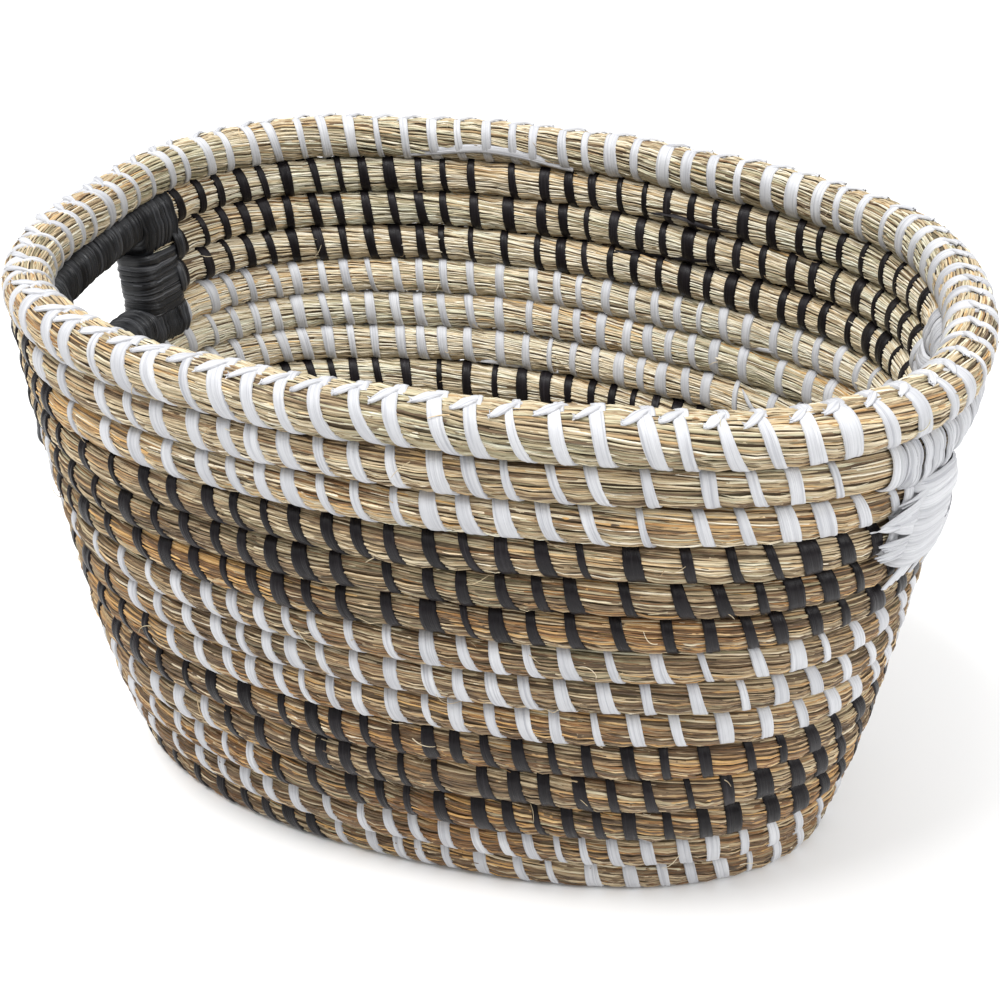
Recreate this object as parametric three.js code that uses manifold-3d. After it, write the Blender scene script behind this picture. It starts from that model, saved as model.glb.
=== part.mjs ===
// Oval storage basket of coiled seagrass with a hand hole at each end.
// Each coil row, base ring and strip binding is its own closed body. Millimetres, +Z up, resting on z = 0.
// The long axis is X: the dark-bound hand hole is at -X and the light-bound one at +X.
import * as THREE from "three";
import Module from "manifold-3d";

// Plan of the rim coil's centre line, and of the lowest wall coil's
const RIM_HALF_LENGTH = 202.7;
const RIM_HALF_WIDTH = 153.7;
const RIM_SQUARENESS = 3.12;
const FOOT_HALF_LENGTH = 178.9;
const FOOT_HALF_WIDTH = 90.7;
const FOOT_SQUARENESS = 2.22;
const WALL_BELLY = 0.324;
// The rim sits a little off the middle of the foot
const RIM_SHIFT_X = 8.1;
const RIM_SHIFT_Y = 5.1;
// Handmade unevenness of the rim's outline: shares of its radius, as waves round the outline
const BROAD_END = -0.018;
const EGG_X = 0.018;
const EGG_Y = -0.011;
const SKEW = -0.028;
const CORNER_CUT = 0.0315;

// Coil rows, counted from the rim down. The grass bundle is thickest in the rim and low in the wall
const WALL_ROWS = 14;
const RIM_COIL = 20.4;
const COIL = 18.5;
const LOW_COIL_SWELL = 6.3;
const SWELL_ROW = 11.8;
const SWELL_SPAN = 2.95;
const GAP = 0.3;

// Hand holes: two rows are missing between rows 2 and 5, over this angle each side of a hole's middle.
// Both middles sit a little to the front of the long axis, and the right one has the narrower posts
const RIGHT_HOLE = { middle: -7.2, binding: 16.8, stub: 13 };
const LEFT_HOLE = { middle: 182.5, binding: 19.5, stub: 13.4 };
const HOLE_FIRST_ROW = 3;
const HOLE_LAST_ROW = 4;
const HOLE_ANGLE = 11.5;
const BOUND_COIL_SHARE = 0.8;
const BINDING_PROUD = 1.3;
const END_CLEARANCE = 0.4;
const SHOULDER_ANGLE = 0.9;
const NOSE_ANGLE = 0.9;
const NOSE_SHARE = 0.72;

// Oval coils of the flat base, inside the lowest wall row
const BASE_RINGS = 4;
const BASE_THICK = 16.5;
const BASE_CORE_HALF_LENGTH = 87;
const BASE_END_ROUNDING = 1.3;

// Plaited strip along the crest of the rim
const CREST_THICK = 1.5;
const CREST_HALF_ANGLE = 44;

const RING_STEPS = 44;
const BASE_STEPS = 44;
const BINDING_STEPS = 8;
const DEG = Math.PI / 180;

const wasm = await Module();
wasm.setup();

const basket = new THREE.Group();
basket.name = "seagrass_basket";

const MATERIALS = {
  coil: { name: "seagrass_coil", color: 0xb9a077, roughness: 0.85 },
  rim: { name: "seagrass_rim", color: 0xc4aa7c, roughness: 0.85 },
  base: { name: "seagrass_base", color: 0xa8916b, roughness: 0.9 },
  dark: { name: "dark_strip", color: 0x2b292c, roughness: 0.5 },
  light: { name: "light_strip", color: 0xe9e8e4, roughness: 0.5 },
};

function addPart(name, geometry, look) {
  const mesh = new THREE.Mesh(geometry, new THREE.MeshStandardMaterial(MATERIALS[look]));
  mesh.name = name;
  basket.add(mesh);
}

// ---- Shape of the wall ----

function coilThickness(row) {
  if (row === 1) return RIM_COIL;
  const away = (row - SWELL_ROW) / SWELL_SPAN;
  return COIL + LOW_COIL_SWELL * Math.exp(-away * away);
}

function rowHeight(row) {
  let height = coilThickness(WALL_ROWS) / 2;
  for (let lower = WALL_ROWS; lower > row; lower -= 1) {
    height += (coilThickness(lower) + coilThickness(lower - 1)) / 2;
  }
  return height;
}

const FOOT_LEVEL = rowHeight(WALL_ROWS);
const RIM_LEVEL = rowHeight(1);

function superellipse(halfLength, halfWidth, squareness, angle) {
  const across = Math.abs(Math.cos(angle) / halfLength) ** squareness;
  const along = Math.abs(Math.sin(angle) / halfWidth) ** squareness;
  const reach = (across + along) ** (-1 / squareness);
  return new THREE.Vector2(reach * Math.cos(angle), reach * Math.sin(angle));
}

function unevenness(angle) {
  return (
    BROAD_END * Math.cos(angle) +
    EGG_X * Math.cos(3 * angle) +
    EGG_Y * Math.sin(3 * angle) +
    SKEW * Math.sin(2 * angle) +
    CORNER_CUT * Math.cos(4 * angle)
  );
}

// Centre line of a coil in plan, at a share of the wall's height: 0 at the foot, 1 at the rim
function wallPlan(share, angle) {
  const spread = share + 2 * WALL_BELLY * share * (1 - share);
  const point = superellipse(
    THREE.MathUtils.lerp(FOOT_HALF_LENGTH, RIM_HALF_LENGTH, spread),
    THREE.MathUtils.lerp(FOOT_HALF_WIDTH, RIM_HALF_WIDTH, spread),
    THREE.MathUtils.lerp(FOOT_SQUARENESS, RIM_SQUARENESS, share),
    angle,
  );
  point.multiplyScalar(1 + share * unevenness(angle));
  return point.add(new THREE.Vector2(RIM_SHIFT_X * share, RIM_SHIFT_Y * share));
}

function wallShare(level) {
  return (level - FOOT_LEVEL) / (RIM_LEVEL - FOOT_LEVEL);
}

// A point of the wall and the level outward direction there
function wallFrame(level, angle) {
  const share = wallShare(level);
  const point = wallPlan(share, angle);
  const ahead = wallPlan(share, angle + 0.002);
  const behind = wallPlan(share, angle - 0.002);
  const along = ahead.sub(behind).normalize();
  return {
    centre: new THREE.Vector3(point.x, point.y, level),
    outward: new THREE.Vector3(along.y, -along.x, 0),
  };
}

// ---- Sections, as [outward, up] corners in counterclockwise order ----

// Eight-sided section with flats at top, bottom, inside and outside
function coilSection(halfWidth, halfHeight) {
  const cut = Math.tan(Math.PI / 8);
  return [
    [1, -cut],
    [1, cut],
    [cut, 1],
    [-cut, 1],
    [-1, cut],
    [-1, -cut],
    [-cut, -1],
    [cut, -1],
  ].map(([out, up]) => [out * halfWidth, up * halfHeight]);
}

// Section tall enough for two coils, with its corners cut back like a coil's
function postSection(halfWidth, halfHeight) {
  const cut = halfWidth * Math.tan(Math.PI / 8);
  const shoulder = halfHeight - halfWidth + cut;
  return [
    [halfWidth, -shoulder],
    [halfWidth, shoulder],
    [cut, halfHeight],
    [-cut, halfHeight],
    [-halfWidth, shoulder],
    [-halfWidth, -shoulder],
    [-cut, -halfHeight],
    [cut, -halfHeight],
  ];
}

// Curved strip that lies over the top of a round coil
function crestSection(innerRadius, outerRadius) {
  const corners = [];
  const outerAngles = [-1, -0.35, 0.35, 1];
  for (const turn of outerAngles) {
    corners.push([turn * CREST_HALF_ANGLE, outerRadius]);
  }
  for (const turn of [...outerAngles].reverse()) {
    corners.push([turn * CREST_HALF_ANGLE, innerRadius]);
  }
  return corners
    .map(([angle, radius]) => [radius * Math.sin(angle * DEG), radius * Math.cos(angle * DEG)])
    .reverse();
}

// ---- Closed surfaces ----

function geometryFrom(points, triangles) {
  const geometry = new THREE.BufferGeometry();
  const flat = points.flatMap((point) => [point.x, point.y, point.z]);
  geometry.setAttribute("position", new THREE.Float32BufferAttribute(flat, 3));
  geometry.setIndex(triangles);
  geometry.computeVertexNormals();
  return geometry;
}

// Joins successive loops of corners into a tube. A ring closes on itself, and an arc gets end caps
function skinLoops(loops, isRing) {
  const corners = loops[0].length;
  const points = loops.flat();
  const triangles = [];
  const spans = isRing ? loops.length : loops.length - 1;
  for (let span = 0; span < spans; span += 1) {
    const here = span * corners;
    const next = ((span + 1) % loops.length) * corners;
    for (let corner = 0; corner < corners; corner += 1) {
      const after = (corner + 1) % corners;
      triangles.push(here + corner, next + after, next + corner);
      triangles.push(here + corner, here + after, next + after);
    }
  }
  if (!isRing) {
    const last = (loops.length - 1) * corners;
    for (let corner = 1; corner < corners - 1; corner += 1) {
      triangles.push(0, corner + 1, corner);
      triangles.push(last, last + corner, last + corner + 1);
    }
  }
  return geometryFrom(points, triangles);
}

function placeSection(frame, section) {
  return section.map(([out, up]) =>
    frame.centre.clone().addScaledVector(frame.outward, out).add(new THREE.Vector3(0, 0, up)),
  );
}

// Sweeps a section along the wall. sectionAt gives the section at an angle in degrees
function sweepWall(level, angles, sectionAt, isRing) {
  const loops = angles.map((angle) =>
    placeSection(wallFrame(level, angle * DEG), sectionAt(angle)),
  );
  return turnOutward(skinLoops(loops, isRing));
}

// Reverses the faces of a surface whose enclosed volume comes out negative
function turnOutward(geometry) {
  const position = geometry.getAttribute("position");
  const index = geometry.getIndex().array;
  const corner = [new THREE.Vector3(), new THREE.Vector3(), new THREE.Vector3()];
  let volume = 0;
  for (let first = 0; first < index.length; first += 3) {
    corner.forEach((point, side) => point.fromBufferAttribute(position, index[first + side]));
    volume += corner[0].dot(corner[1].cross(corner[2]));
  }
  if (volume > 0) return geometry;
  for (let first = 0; first < index.length; first += 3) {
    [index[first + 1], index[first + 2]] = [index[first + 2], index[first + 1]];
  }
  geometry.computeVertexNormals();
  return geometry;
}

function solidFrom(geometry) {
  return new wasm.Manifold(
    new wasm.Mesh({
      numProp: 3,
      vertProperties: geometry.getAttribute("position").array,
      triVerts: new Uint32Array(geometry.getIndex().array),
    }),
  );
}

// Solid swept along one coil row over the given angles
function solidArc(row, angles, section) {
  return solidFrom(sweepWall(rowHeight(row), angles, () => section, false));
}

function geometryFromSolid(solid) {
  const mesh = solid.getMesh();
  const geometry = new THREE.BufferGeometry();
  const positions = new Float32Array(mesh.numVert * 3);
  for (let vertex = 0; vertex < mesh.numVert; vertex += 1) {
    const start = vertex * mesh.numProp;
    positions.set(mesh.vertProperties.subarray(start, start + 3), vertex * 3);
  }
  geometry.setAttribute("position", new THREE.BufferAttribute(positions, 3));
  geometry.setIndex(new THREE.BufferAttribute(new Uint32Array(mesh.triVerts), 1));
  geometry.computeVertexNormals();
  return geometry;
}

// ---- Wall coils ----

function evenAngles(from, to, steps) {
  return Array.from({ length: steps + 1 }, (_, step) => from + ((to - from) * step) / steps);
}

// The angles of a full ring, without the repeated last one
function ringAngles(steps) {
  return evenAngles(0, 360, steps).slice(0, -1);
}

// Angle beyond the end of the nearer hand hole's binding, negative inside it
function angleFromBinding(angle) {
  const gaps = [RIGHT_HOLE, LEFT_HOLE].map((hole) => {
    const turned = (((angle - hole.middle) % 360) + 360) % 360;
    return Math.min(turned, 360 - turned) - hole.binding;
  });
  return Math.min(...gaps);
}

// Coil section at an angle: drawn in where a strip binding goes round it
function boundCoilSection(row, angle) {
  const full = coilThickness(row) / 2 - GAP / 2;
  const isBound = angleFromBinding(angle) < 0.25;
  const radius = isBound ? full * BOUND_COIL_SHARE : full;
  return coilSection(radius, radius);
}

// Evenly spaced angles over a binding at one end of the basket
function bindingAngles({ middle, binding }) {
  return evenAngles(middle - binding, middle + binding, BINDING_STEPS);
}

// Angles of a ring whose section steps in and out beside each binding
function boundRingAngles() {
  const ends = [RIGHT_HOLE, LEFT_HOLE].flatMap((hole) => [
    hole.middle - hole.binding - SHOULDER_ANGLE,
    ...bindingAngles(hole),
    hole.middle + hole.binding + SHOULDER_ANGLE,
  ]);
  const plain = ringAngles(RING_STEPS).filter(
    (angle) => angleFromBinding(angle) > SHOULDER_ANGLE + 2,
  );
  return [...plain, ...ends.map((angle) => (angle + 360) % 360)].sort((a, b) => a - b);
}

function addFullRow(row) {
  const radius = coilThickness(row) / 2 - GAP / 2;
  const name = row === 1 ? "rim_coil" : "wall_row_" + String(row).padStart(2, "0");
  const section = coilSection(radius, radius);
  const ring = sweepWall(rowHeight(row), ringAngles(RING_STEPS), () => section, true);
  addPart(name, ring, row === 1 ? "rim" : "coil");
}

function addBoundRow(row) {
  const name = "wall_row_" + String(row).padStart(2, "0");
  const sectionAt = (angle) => boundCoilSection(row, angle);
  addPart(name, sweepWall(rowHeight(row), boundRingAngles(), sectionAt, true), "coil");
}

// Angles of an arc that runs from one hand hole to the next and ends in two thin stubs
function stubArcAngles(from, to, turn) {
  const near = ({ stub, binding }) => [stub, (stub + binding) / 2, binding];
  const start = from.middle + from.binding + SHOULDER_ANGLE;
  const stop = to.middle + turn - to.binding - SHOULDER_ANGLE;
  return [
    ...near(from).map((angle) => from.middle + angle),
    ...evenAngles(start, stop, RING_STEPS / 2 - 4),
    ...near(to)
      .map((angle) => to.middle + turn - angle)
      .reverse(),
  ];
}

// A row interrupted by the hand holes: one arc along each long side
function addSplitRow(row) {
  const sectionAt = (angle) => boundCoilSection(row, angle);
  const name = "wall_row_" + String(row).padStart(2, "0");
  const spans = [
    ["back", RIGHT_HOLE, LEFT_HOLE, 0],
    ["front", LEFT_HOLE, RIGHT_HOLE, 360],
  ];
  for (const [side, from, to, turn] of spans) {
    const arc = sweepWall(rowHeight(row), stubArcAngles(from, to, turn), sectionAt, false);
    addPart(name + "_" + side, arc, "coil");
  }
}

// ---- Strip bindings round the hand holes ----

// Strip wound closely round a bar of the hand hole: an open-ended sleeve
function addBarSleeve(name, row, hole, look) {
  const { middle, binding } = hole;
  const outer = coilThickness(row) / 2 - GAP / 2;
  const inner = outer * BOUND_COIL_SHARE + GAP;
  const inside = bindingAngles(hole).slice(1, -1);
  const reach = binding - END_CLEARANCE;
  const sleeveAngles = [middle - reach, ...inside, middle + reach];
  const boreEnd = binding + 1;
  const boreAngles = [middle - boreEnd, ...bindingAngles(hole), middle + boreEnd];
  const wound = solidArc(row, sleeveAngles, coilSection(outer + BINDING_PROUD, outer));
  const bore = solidArc(row, boreAngles, coilSection(inner, inner));
  addPart(name, geometryFromSolid(wound.subtract(bore)), look);
}

// Strip wound round the cut ends of the two missing rows: a cap with a bore for each coil end
function addPostWrap(name, { middle, binding, stub }, side, look) {
  const top = rowHeight(HOLE_FIRST_ROW) + coilThickness(HOLE_FIRST_ROW) / 2 - GAP / 2;
  const bottom = rowHeight(HOLE_LAST_ROW) - coilThickness(HOLE_LAST_ROW) / 2 + GAP / 2;
  const halfWidth = coilThickness(HOLE_FIRST_ROW) / 2 + BINDING_PROUD;
  const stubMiddle = (stub + binding) / 2;
  const turned = (angles) => angles.map((angle) => middle + side * angle);
  const noseEnd = HOLE_ANGLE + NOSE_ANGLE;
  const wrapAngles = turned([
    HOLE_ANGLE,
    noseEnd,
    stub,
    stubMiddle,
    binding - END_CLEARANCE,
  ]);
  const boreAngles = turned([stub - END_CLEARANCE, stubMiddle, binding + 1]);
  const sectionAt = (angle) => {
    const isNose = Math.abs(angle - middle) < HOLE_ANGLE + NOSE_ANGLE / 2;
    return postSection(isNose ? halfWidth * NOSE_SHARE : halfWidth, (top - bottom) / 2);
  };
  let wrap = solidFrom(sweepWall((top + bottom) / 2, wrapAngles, sectionAt, false));
  for (const row of [HOLE_FIRST_ROW, HOLE_LAST_ROW]) {
    const radius = (coilThickness(row) / 2 - GAP / 2) * BOUND_COIL_SHARE + GAP;
    wrap = wrap.subtract(solidArc(row, boreAngles, coilSection(radius, radius)));
  }
  addPart(name, geometryFromSolid(wrap), look);
}

function addHandHole(end, hole, look) {
  addBarSleeve(end + "_handle_top_binding", HOLE_FIRST_ROW - 1, hole, look);
  addBarSleeve(end + "_handle_lower_binding", HOLE_LAST_ROW + 1, hole, look);
  const backSide = hole === RIGHT_HOLE ? 1 : -1;
  addPostWrap(end + "_handle_back_binding", hole, backSide, look);
  addPostWrap(end + "_handle_front_binding", hole, -backSide, look);
}

// ---- Plaited strip on the rim ----

function addRimCrest() {
  const radius = RIM_COIL / 2 - GAP / 2;
  const corner = radius / Math.cos(Math.PI / 8);
  const section = crestSection(corner + GAP, corner + GAP + CREST_THICK);
  const ring = sweepWall(RIM_LEVEL, ringAngles(RING_STEPS), () => section, true);
  addPart("rim_crest_plait", ring, "light");
}

// ---- Flat base ----

// Oval between the base's middle line and the inside of the lowest wall row, at a share from 0 to 1
function basePlan(share, angle) {
  const wall = wallFrame(FOOT_LEVEL, angle);
  const inset = coilThickness(WALL_ROWS) / 2 + GAP / 2;
  const outer = wall.centre.addScaledVector(wall.outward, -inset);
  const alongMiddle = (BASE_END_ROUNDING * outer.x) / (FOOT_HALF_LENGTH - inset);
  const inner = new THREE.Vector3(
    BASE_CORE_HALF_LENGTH * THREE.MathUtils.clamp(alongMiddle, -1, 1),
    0,
    outer.z,
  );
  return inner.lerp(outer, share);
}

// Ring coil between two of those ovals
function addBaseRing(number, innerShare, outerShare) {
  const halfHeight = BASE_THICK / 2;
  const middleShare = (innerShare + outerShare) / 2;
  const reach = (outerShare - innerShare) / 2;
  const loops = ringAngles(BASE_STEPS).map((angle) =>
    coilSection(reach, halfHeight).map(([out, up]) => {
      const point = basePlan(middleShare + out, angle * DEG);
      return new THREE.Vector3(point.x, point.y, halfHeight + up);
    }),
  );
  addPart("base_ring_" + number, turnOutward(skinLoops(loops, true)), "base");
}

// Straight starting coil in the middle of the base
function addBaseCore(outerShare) {
  const cut = Math.tan(Math.PI / 8);
  const halfHeight = BASE_THICK / 2;
  const levels = [
    [0.45, -1],
    [1, -cut],
    [1, cut],
    [0.45, 1],
  ];
  const loops = levels.map(([width, up]) =>
    ringAngles(BASE_STEPS).map((angle) => {
      const point = basePlan(outerShare * width, angle * DEG);
      return new THREE.Vector3(point.x, point.y, halfHeight * (1 + up));
    }),
  );
  addPart("base_core", turnOutward(skinLoops(loops, false)), "base");
}

function addBase() {
  const pitch = 1 / (BASE_RINGS + 0.5);
  const seam = GAP / 2 / (FOOT_HALF_WIDTH - coilThickness(WALL_ROWS) / 2);
  for (let ring = 1; ring <= BASE_RINGS; ring += 1) {
    const outer = 1 - (ring - 1) * pitch;
    addBaseRing(ring, outer - pitch + seam, outer - seam);
  }
  addBaseCore(pitch / 2 - seam);
}

// ---- The whole basket ----

addFullRow(1);
addRimCrest();
addBoundRow(HOLE_FIRST_ROW - 1);
for (let row = HOLE_FIRST_ROW; row <= HOLE_LAST_ROW; row += 1) {
  addSplitRow(row);
}
addBoundRow(HOLE_LAST_ROW + 1);
for (let row = HOLE_LAST_ROW + 2; row <= WALL_ROWS; row += 1) {
  addFullRow(row);
}
addHandHole("left", LEFT_HOLE, "dark");
addHandHole("right", RIGHT_HOLE, "light");
addBase();

// The row's origin is at the middle of the basket's outline, on the floor
const outline = new THREE.Box3().setFromObject(basket);
const middle = outline.getCenter(new THREE.Vector3());
basket.position.set(-middle.x, -middle.y, -outline.min.z);

export default basket;
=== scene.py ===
# Seagrass storage basket: its looks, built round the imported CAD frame.
# Lengths are in millimetres until mesh_object turns them into metres.
import math

import bpy
import numpy as np
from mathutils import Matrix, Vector


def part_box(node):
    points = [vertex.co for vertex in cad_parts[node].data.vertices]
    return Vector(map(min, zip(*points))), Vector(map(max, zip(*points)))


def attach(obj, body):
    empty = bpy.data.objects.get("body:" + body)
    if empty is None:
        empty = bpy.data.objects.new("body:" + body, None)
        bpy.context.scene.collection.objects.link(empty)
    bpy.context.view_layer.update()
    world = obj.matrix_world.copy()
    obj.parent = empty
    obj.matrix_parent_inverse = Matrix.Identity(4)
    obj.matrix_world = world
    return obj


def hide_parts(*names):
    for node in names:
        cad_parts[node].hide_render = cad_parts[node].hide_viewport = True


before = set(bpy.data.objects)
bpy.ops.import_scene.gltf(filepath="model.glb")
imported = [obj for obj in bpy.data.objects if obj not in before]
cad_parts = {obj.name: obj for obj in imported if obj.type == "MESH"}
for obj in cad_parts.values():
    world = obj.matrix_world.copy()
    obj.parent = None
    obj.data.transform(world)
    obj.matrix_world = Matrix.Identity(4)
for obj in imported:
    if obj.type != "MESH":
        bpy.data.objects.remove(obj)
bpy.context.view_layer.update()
rng = np.random.default_rng(20)
scene = bpy.context.scene

MM = 0.001
TURN = 2 * math.pi
DEG = math.pi / 180

# ---- The same coil paths as the CAD wall and base ----

RIM_HALF = (202.7, 153.7)
FOOT_HALF = (178.9, 90.7)
RIM_SQUARENESS, FOOT_SQUARENESS = 3.12, 2.22
BELLY = 0.324
RIM_SHIFT = (8.1, 5.1)
BROAD_END, EGG_X, EGG_Y, SKEW, CORNER_CUT = -0.018, 0.018, -0.011, -0.028, 0.0315
ROWS = 14
RIM_COIL, COIL = 20.4, 18.5
LOW_SWELL, SWELL_ROW, SWELL_SPAN = 6.3, 11.8, 2.95
# In degrees round the basket: the middle of each hand hole, how far it opens each side of that,
# and how far from it the binding and the grass of the cut rows end
RIGHT_HOLE, LEFT_HOLE = -7.2, 182.5
HOLE = 11.5
BINDING = {RIGHT_HOLE: 16.8, LEFT_HOLE: 19.5}
STUB = {RIGHT_HOLE: 13.0, LEFT_HOLE: 13.4}
CUT_ROWS = (3, 4)
BASE_THICK, CORE_HALF, BASE_RINGS = 16.5, 87.0, 4
CORE_END_ROUNDING = 1.3
PLAN_STEPS = 1440


def coil_thickness(row):
    if row == 1:
        return RIM_COIL
    return COIL + LOW_SWELL * math.exp(-(((row - SWELL_ROW) / SWELL_SPAN) ** 2))


def row_height(row):
    height = coil_thickness(ROWS) / 2
    for lower in range(ROWS, row, -1):
        height += (coil_thickness(lower) + coil_thickness(lower - 1)) / 2
    return height


FOOT_LEVEL, RIM_LEVEL = row_height(ROWS), row_height(1)


def wall_point(level, phi):
    share = (level - FOOT_LEVEL) / (RIM_LEVEL - FOOT_LEVEL)
    spread = share + 2 * BELLY * share * (1 - share)
    length = FOOT_HALF[0] + (RIM_HALF[0] - FOOT_HALF[0]) * spread
    width = FOOT_HALF[1] + (RIM_HALF[1] - FOOT_HALF[1]) * spread
    power = FOOT_SQUARENESS + (RIM_SQUARENESS - FOOT_SQUARENESS) * share
    c, s = np.cos(phi), np.sin(phi)
    reach = (np.abs(c / length) ** power + np.abs(s / width) ** power) ** (-1 / power)
    uneven = BROAD_END * c + EGG_X * np.cos(3 * phi) + EGG_Y * np.sin(3 * phi)
    uneven = uneven + SKEW * np.sin(2 * phi) + CORNER_CUT * np.cos(4 * phi)
    reach = reach * (1 + share * uneven)
    x = reach * c + RIM_SHIFT[0] * share
    y = reach * s + RIM_SHIFT[1] * share
    return np.stack([x, y, np.full_like(x, level)], -1)


foot_low, foot_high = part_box("wall_row_14")
CENTRE = np.array([(foot_low.x + foot_high.x) / 2, (foot_low.y + foot_high.y) / 2, 0.0])


def unit(v):
    return v / np.linalg.norm(v, axis=-1, keepdims=True)


def wrap(degrees):
    """The same angle, from -180 to 180 degrees."""
    return np.mod(degrees + 180, 360) - 180


def wave(x, length, seed, terms=6, low=1, high=12):
    """Smooth random curve that repeats after a length."""
    r = np.random.default_rng(seed)
    total = np.zeros_like(x)
    for k in r.integers(low, high, terms):
        total = total + r.normal() * np.sin(TURN * k * x / length + r.uniform(0, TURN))
    return total / math.sqrt(terms)


# The grass stands a little proud of the CAD coil: outward, upward, and both ways on the rim
PROUD_OUT, PROUD_UP, RIM_PROUD_OUT, RIM_PROUD_UP = 1.04, 1.02, 1.02, 1.03
# Section of a coil, between a circle (2) and a square
SECTION_POWER = 2.35
# Usual radius of a coil, to turn an angle round its section into a distance
RADIUS = 9.8
STRIP_RADIUS = 10.0
# How far a stitch runs along the coil on its way down, on the outside and inside
LEAN_OUT, RIM_LEAN_OUT, LEAN_IN = 9.0, 10.5, 5.0
# The bundle is fuller between stitches, and pulled in over this distance beside each one
FULL_BETWEEN, PINCH_SPAN = 0.02, 4.2
LUMPS = 0.012
# Most that a stretched binding stands out sideways
STRETCH_OUT = 1.4
# Rows wander up and down by about this much
WANDER, WANDER_SEED = 0.45, 50
BASE_GAP = 0.15


class Coil:
    """A coil's path. s is the distance along it, theta the angle round it from its outside up."""

    SAMPLES = 4096

    def __init__(self, centre, up, across, tall, closed=True):
        self.closed = closed
        if closed:
            along = unit(np.roll(centre, -1, 0) - np.roll(centre, 1, 0))
        else:
            along = unit(np.gradient(centre, axis=0))
        out = unit(np.cross(along, up))
        data = np.column_stack([centre, along, out, np.cross(out, along), across, tall])
        if closed:
            data = np.vstack([data, data[:1]])
        steps = np.linalg.norm(np.diff(data[:, :3], axis=0), axis=1)
        self.raw_s = np.concatenate([[0], np.cumsum(steps)])
        self.raw_degrees = np.linspace(0, 360, len(self.raw_s))
        self.length = self.raw_s[-1]
        self.grid = np.linspace(0, self.length, self.SAMPLES + 1)
        self.degrees = np.interp(self.grid, self.raw_s, self.raw_degrees)
        self.data = np.stack([np.interp(self.grid, self.raw_s, column) for column in data.T], 1)
        self.squeeze = np.ones(self.SAMPLES + 1)
        self.stretch = np.zeros(self.SAMPLES + 1)
        self.lean_out, self.lean_in = LEAN_OUT, LEAN_IN
        self.seed = int(rng.integers(1 << 30))

    def s_at(self, degrees):
        return np.interp(np.mod(degrees, 360), self.raw_degrees, self.raw_s)

    def degrees_at(self, s):
        return np.interp(np.mod(s, self.length), self.raw_s, self.raw_degrees)

    def look_up(self, table, s):
        if self.closed:
            place = np.mod(s, self.length) / self.length * self.SAMPLES
        else:
            place = np.clip(s / self.length, 0, 1) * self.SAMPLES
        low = np.clip(place.astype(int), 0, self.SAMPLES - 1)
        share = place - low
        if table.ndim > 1:
            share = share[..., None]
        return table[low] * (1 - share) + table[low + 1] * share

    def stitch_path(self, down, outer):
        """Sideways run of a stitch at a share of its way down."""
        if outer:
            return self.lean_out * (0.35 * down + 0.65 * down**1.8)
        return -self.lean_in * (0.5 * down + 0.5 * down**1.4)

    def set_stitches(self, places, depth):
        """Pull the bundle in at each stitch, by a share of its radius."""
        order = np.sort(places)
        if self.closed:
            order = np.concatenate([order - self.length, order, order + self.length])
        self.nearest = np.abs(self.grid[:, None] - order[None, :]).min(1)
        self.pinch = FULL_BETWEEN - depth * np.exp(-((self.nearest / PINCH_SPAN) ** 2))

    def without_lean(self, s, theta):
        """Where a stitch through this point crosses the top of the coil."""
        turned = wrap(theta / DEG)
        outer = np.abs(turned) < 90
        down = np.where(outer, (90 - turned) / 180, np.mod(turned - 90, 360) / 180)
        down = np.clip(down, 0, 1)
        return s - np.where(outer, self.stitch_path(down, True), self.stitch_path(down, False))

    def fullness(self, s, theta):
        """How full the bundle is there, as a share of its usual radius."""
        pinch = self.look_up(self.pinch, self.without_lean(s, theta))
        lumps = LUMPS * wave(s, self.length, self.seed, 7, 3, 24)
        return (1 + pinch + lumps) * self.look_up(self.squeeze, s)

    def point(self, s, theta, lift):
        """A point at a height of lift above the surface of the bundle."""
        d = self.look_up(self.data, s)
        c, si = np.cos(theta), np.sin(theta)
        reach = (np.abs(c) ** SECTION_POWER + np.abs(si) ** SECTION_POWER) ** (-1 / SECTION_POWER)
        full = self.fullness(s, theta)
        a = (d[..., 12] * full * reach + lift)[..., None]
        b = (d[..., 13] * full * reach + lift)[..., None]
        longer = self.look_up(self.stretch, s) * np.clip(-si, 0, 1) ** 0.7
        b = b + (longer / np.maximum(np.abs(si), 0.02))[..., None]
        a = a + np.clip(longer, 0, STRETCH_OUT)[..., None]
        return d[..., 0:3] + a * c[..., None] * d[..., 6:9] + b * si[..., None] * d[..., 9:12]

    def offset(self, s, out, up, along=0.0):
        """A point given straight across the coil, in mm outward and up."""
        d = self.look_up(self.data, s)
        out, up, along = (np.broadcast_to(v, s.shape)[..., None] for v in (out, up, along))
        return d[..., 0:3] + out * d[..., 6:9] + up * d[..., 9:12] + along * d[..., 3:6]


def wall_coil(row):
    phi = np.linspace(0, TURN, PLAN_STEPS, endpoint=False)
    here = wall_point(row_height(row), phi)
    above = wall_point(row_height(row - 1), phi) if row > 1 else None
    below = wall_point(row_height(row + 1), phi) if row < ROWS else None
    lean = (above if above is not None else here) - (below if below is not None else here)
    gaps = [np.linalg.norm(p - here, axis=1) / 2 for p in (above, below) if p is not None]
    tall = sum(gaps) / len(gaps)
    across = np.full(len(phi), coil_thickness(row) / 2 * PROUD_OUT)
    if row == 1:
        across = across * RIM_PROUD_OUT
        tall = np.full(len(phi), coil_thickness(1) / 2 * RIM_PROUD_UP)
    here[:, 2] += WANDER * wave(phi, TURN, WANDER_SEED + row, 6, 2, 14)
    return Coil(here, unit(lean), across, tall * PROUD_UP)


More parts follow.
